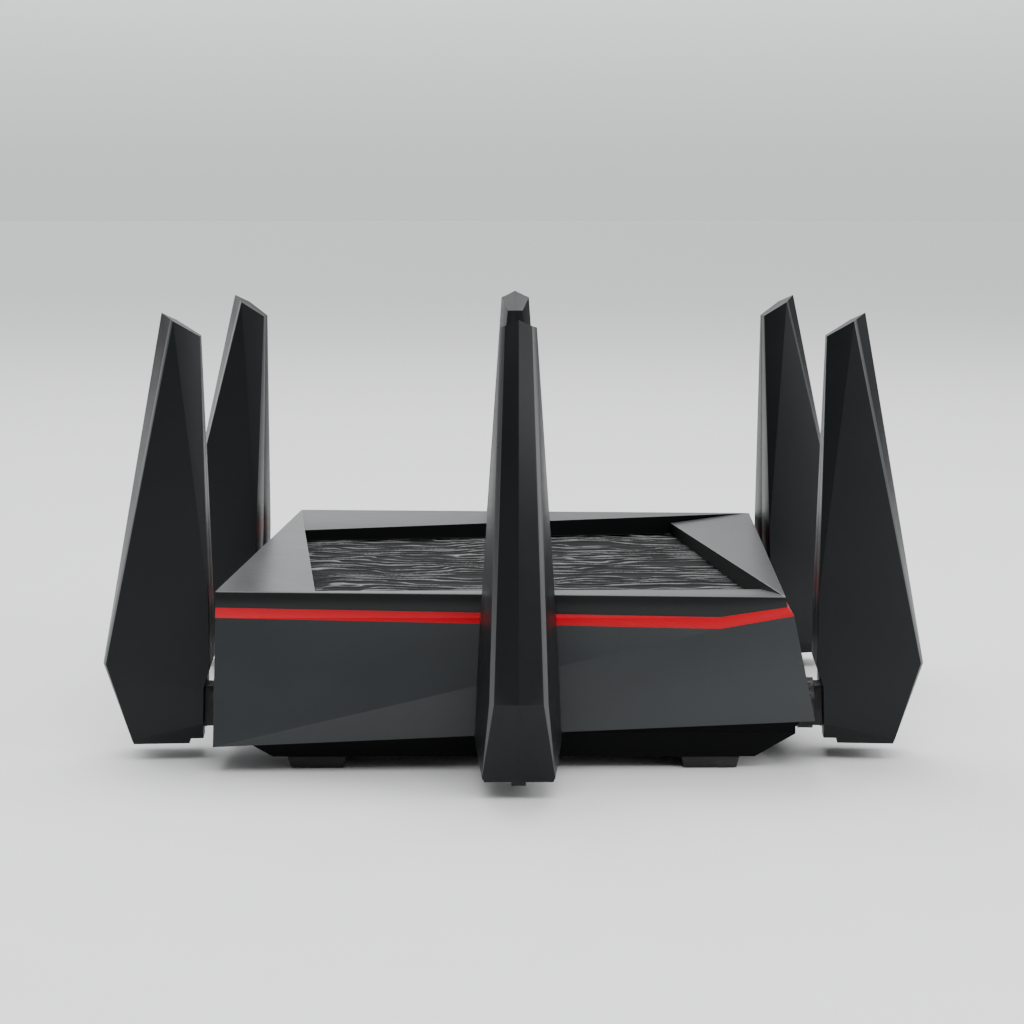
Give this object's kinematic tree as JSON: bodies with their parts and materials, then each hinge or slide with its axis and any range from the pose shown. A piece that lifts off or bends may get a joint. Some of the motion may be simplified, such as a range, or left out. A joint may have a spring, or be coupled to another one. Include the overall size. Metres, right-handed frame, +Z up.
{
  "type": "wireless router",
  "caption": "Square faceted wireless router case with a recessed grained top panel, a red accent band, rear sockets and buttons, and folding blade antennas on connector collars.",
  "frame": {"origin": "on the table, under the middle of the case", "axes": "+Z up, front of the case towards -Y, sockets on the +Y side"},
  "size_m": [0.3222, 0.3224, 0.1748],
  "materials": {
    "cover": "fine satin moulded plastic, dark grey",
    "panel": "deep moulded grain, black with worn silver crests",
    "rim": "smooth dark plastic",
    "red": "satin red plastic",
    "housing": "fine matte moulded plastic",
    "base": "matte black moulded plastic",
    "foot_rubber": "matte rubber",
    "steel": "zinc plated",
    "plate": "blank satin label",
    "board": "solder mask",
    "heatsink": "extruded",
    "shield": "tin plated sheet",
    "jack_brass": "gold plated",
    "lead": "coaxial lead sheath",
    "socket": "socket housing",
    "light_window": "clear light window",
    "button": "moulded button cap",
    "antenna_shell": "fine matte moulded plastic",
    "hinge_plastic": "moulded nylon"
  },
  "bodies": {
    "case": {"top_cover": "cover", "textured_panel": "panel", "rim_band": "rim", "red_trim_band": "red", "side_housing": "housing", "base_pan": "base", "rubber_feet": "foot_rubber", "case_screws": "steel", "rating_plate": "plate", "rear_port_bezel": "base", "main_board": "board", "heatsink": "heatsink", "shield_cans": "shield", "antenna_jacks": "jack_brass", "antenna_leads": "lead", "network_port_block": "socket", "usb_port": "shield", "dc_jack": "socket", "port_light_windows": "light_window", "button_switches": "socket"},
    "elbow_front_left": {"antenna_front_left_elbow": "hinge_plastic", "antenna_front_left_collar_nut": "hinge_plastic"},
    "blade_front_left": {"antenna_front_left_shell_a": "antenna_shell", "antenna_front_left_shell_b": "antenna_shell", "antenna_front_left_radiator": "board", "antenna_front_left_hinge_pin": "steel"},
    "elbow_back_left": {"antenna_back_left_elbow": "hinge_plastic", "antenna_back_left_collar_nut": "hinge_plastic"},
    "blade_back_left": {"antenna_back_left_shell_a": "antenna_shell", "antenna_back_left_shell_b": "antenna_shell", "antenna_back_left_radiator": "board", "antenna_back_left_hinge_pin": "steel"},
    "elbow_front_right": {"antenna_front_right_elbow": "hinge_plastic", "antenna_front_right_collar_nut": "hinge_plastic"},
    "blade_front_right": {"antenna_front_right_shell_a": "antenna_shell", "antenna_front_right_shell_b": "antenna_shell", "antenna_front_right_radiator": "board", "antenna_front_right_hinge_pin": "steel"},
    "elbow_back_right": {"antenna_back_right_elbow": "hinge_plastic", "antenna_back_right_collar_nut": "hinge_plastic"},
    "blade_back_right": {"antenna_back_right_shell_a": "antenna_shell", "antenna_back_right_shell_b": "antenna_shell", "antenna_back_right_radiator": "board", "antenna_back_right_hinge_pin": "steel"},
    "elbow_front": {"antenna_front_elbow": "hinge_plastic", "antenna_front_collar_nut": "hinge_plastic"},
    "blade_front": {"antenna_front_shell_a": "antenna_shell", "antenna_front_shell_b": "antenna_shell", "antenna_front_radiator": "board", "antenna_front_hinge_pin": "steel"},
    "elbow_back": {"antenna_back_elbow": "hinge_plastic", "antenna_back_collar_nut": "hinge_plastic"},
    "blade_back": {"antenna_back_shell_a": "antenna_shell", "antenna_back_shell_b": "antenna_shell", "antenna_back_radiator": "board", "antenna_back_hinge_pin": "steel"},
    "power_button_body": {"power_button": "button"},
    "wps_button_body": {"wps_button": "button"},
    "wifi_button_body": {"wifi_button": "button"},
    "reset_button_body": {"reset_button": "button"}
  },
  "joints": [
    {"name": "swivel_front_left", "type": "hinge", "parent": "case", "child": "elbow_front_left", "pos_m": [-0.12697, -0.08084, 0.0205], "axis": [-0.9976, -0.0698, 0], "range_deg": [-45, 45]},
    {"name": "tilt_front_left", "type": "hinge", "parent": "elbow_front_left", "child": "blade_front_left", "pos_m": [-0.12697, -0.08084, 0.0205], "axis": [0.0698, -0.9976, 0], "range_deg": [-3, 8.5]},
    {"name": "swivel_back_left", "type": "hinge", "parent": "case", "child": "elbow_back_left", "pos_m": [-0.1269, 0.08157, 0.0205], "axis": [-0.9914, 0.1305, 0], "range_deg": [-45, 45]},
    {"name": "tilt_back_left", "type": "hinge", "parent": "elbow_back_left", "child": "blade_back_left", "pos_m": [-0.1269, 0.08157, 0.0205], "axis": [-0.1305, -0.9914, 0], "range_deg": [0, 11.1]},
    {"name": "swivel_front_right", "type": "hinge", "parent": "case", "child": "elbow_front_right", "pos_m": [0.12697, -0.08084, 0.0205], "axis": [0.9976, -0.0698, 0], "range_deg": [-45, 45]},
    {"name": "tilt_front_right", "type": "hinge", "parent": "elbow_front_right", "child": "blade_front_right", "pos_m": [0.12697, -0.08084, 0.0205], "axis": [0.0698, 0.9976, 0], "range_deg": [-3, 8.5]},
    {"name": "swivel_back_right", "type": "hinge", "parent": "case", "child": "elbow_back_right", "pos_m": [0.1269, 0.08157, 0.0205], "axis": [0.9914, 0.1305, 0], "range_deg": [-30, 45]},
    {"name": "tilt_back_right", "type": "hinge", "parent": "elbow_back_right", "child": "blade_back_right", "pos_m": [0.1269, 0.08157, 0.0205], "axis": [-0.1305, 0.9914, 0], "range_deg": [0, 10.4]},
    {"name": "swivel_front", "type": "hinge", "parent": "case", "child": "elbow_front", "pos_m": [0.0016, -0.127, 0.0205], "axis": [0, -1, 0], "range_deg": [-45, 45]},
    {"name": "tilt_front", "type": "hinge", "parent": "elbow_front", "child": "blade_front", "pos_m": [0.0016, -0.127, 0.0205], "axis": [1, 0, 0], "range_deg": [-3, 8.5]},
    {"name": "swivel_back", "type": "hinge", "parent": "case", "child": "elbow_back", "pos_m": [0.0016, 0.127, 0.0205], "axis": [0, 1, 0], "range_deg": [-45, 45]},
    {"name": "tilt_back", "type": "hinge", "parent": "elbow_back", "child": "blade_back", "pos_m": [0.0016, 0.127, 0.0205], "axis": [-1, 0, 0], "range_deg": [-3, 8.5]},
    {"name": "power_press", "type": "slide", "parent": "case", "child": "power_button_body", "axis": [0, -1, 0], "range_m": [0, 0.0014], "stiffness_N_per_m": 150, "springref_m": -0.003},
    {"name": "wps_press", "type": "slide", "parent": "case", "child": "wps_button_body", "axis": [0, -1, 0], "range_m": [0, 0.0014], "stiffness_N_per_m": 150, "springref_m": -0.003},
    {"name": "wifi_press", "type": "slide", "parent": "case", "child": "wifi_button_body", "axis": [0, -1, 0], "range_m": [0, 0.0014], "stiffness_N_per_m": 150, "springref_m": -0.003},
    {"name": "reset_press", "type": "slide", "parent": "case", "child": "reset_button_body", "axis": [0, -1, 0], "range_m": [0, 0.0014], "stiffness_N_per_m": 150, "springref_m": -0.003}
  ]
}
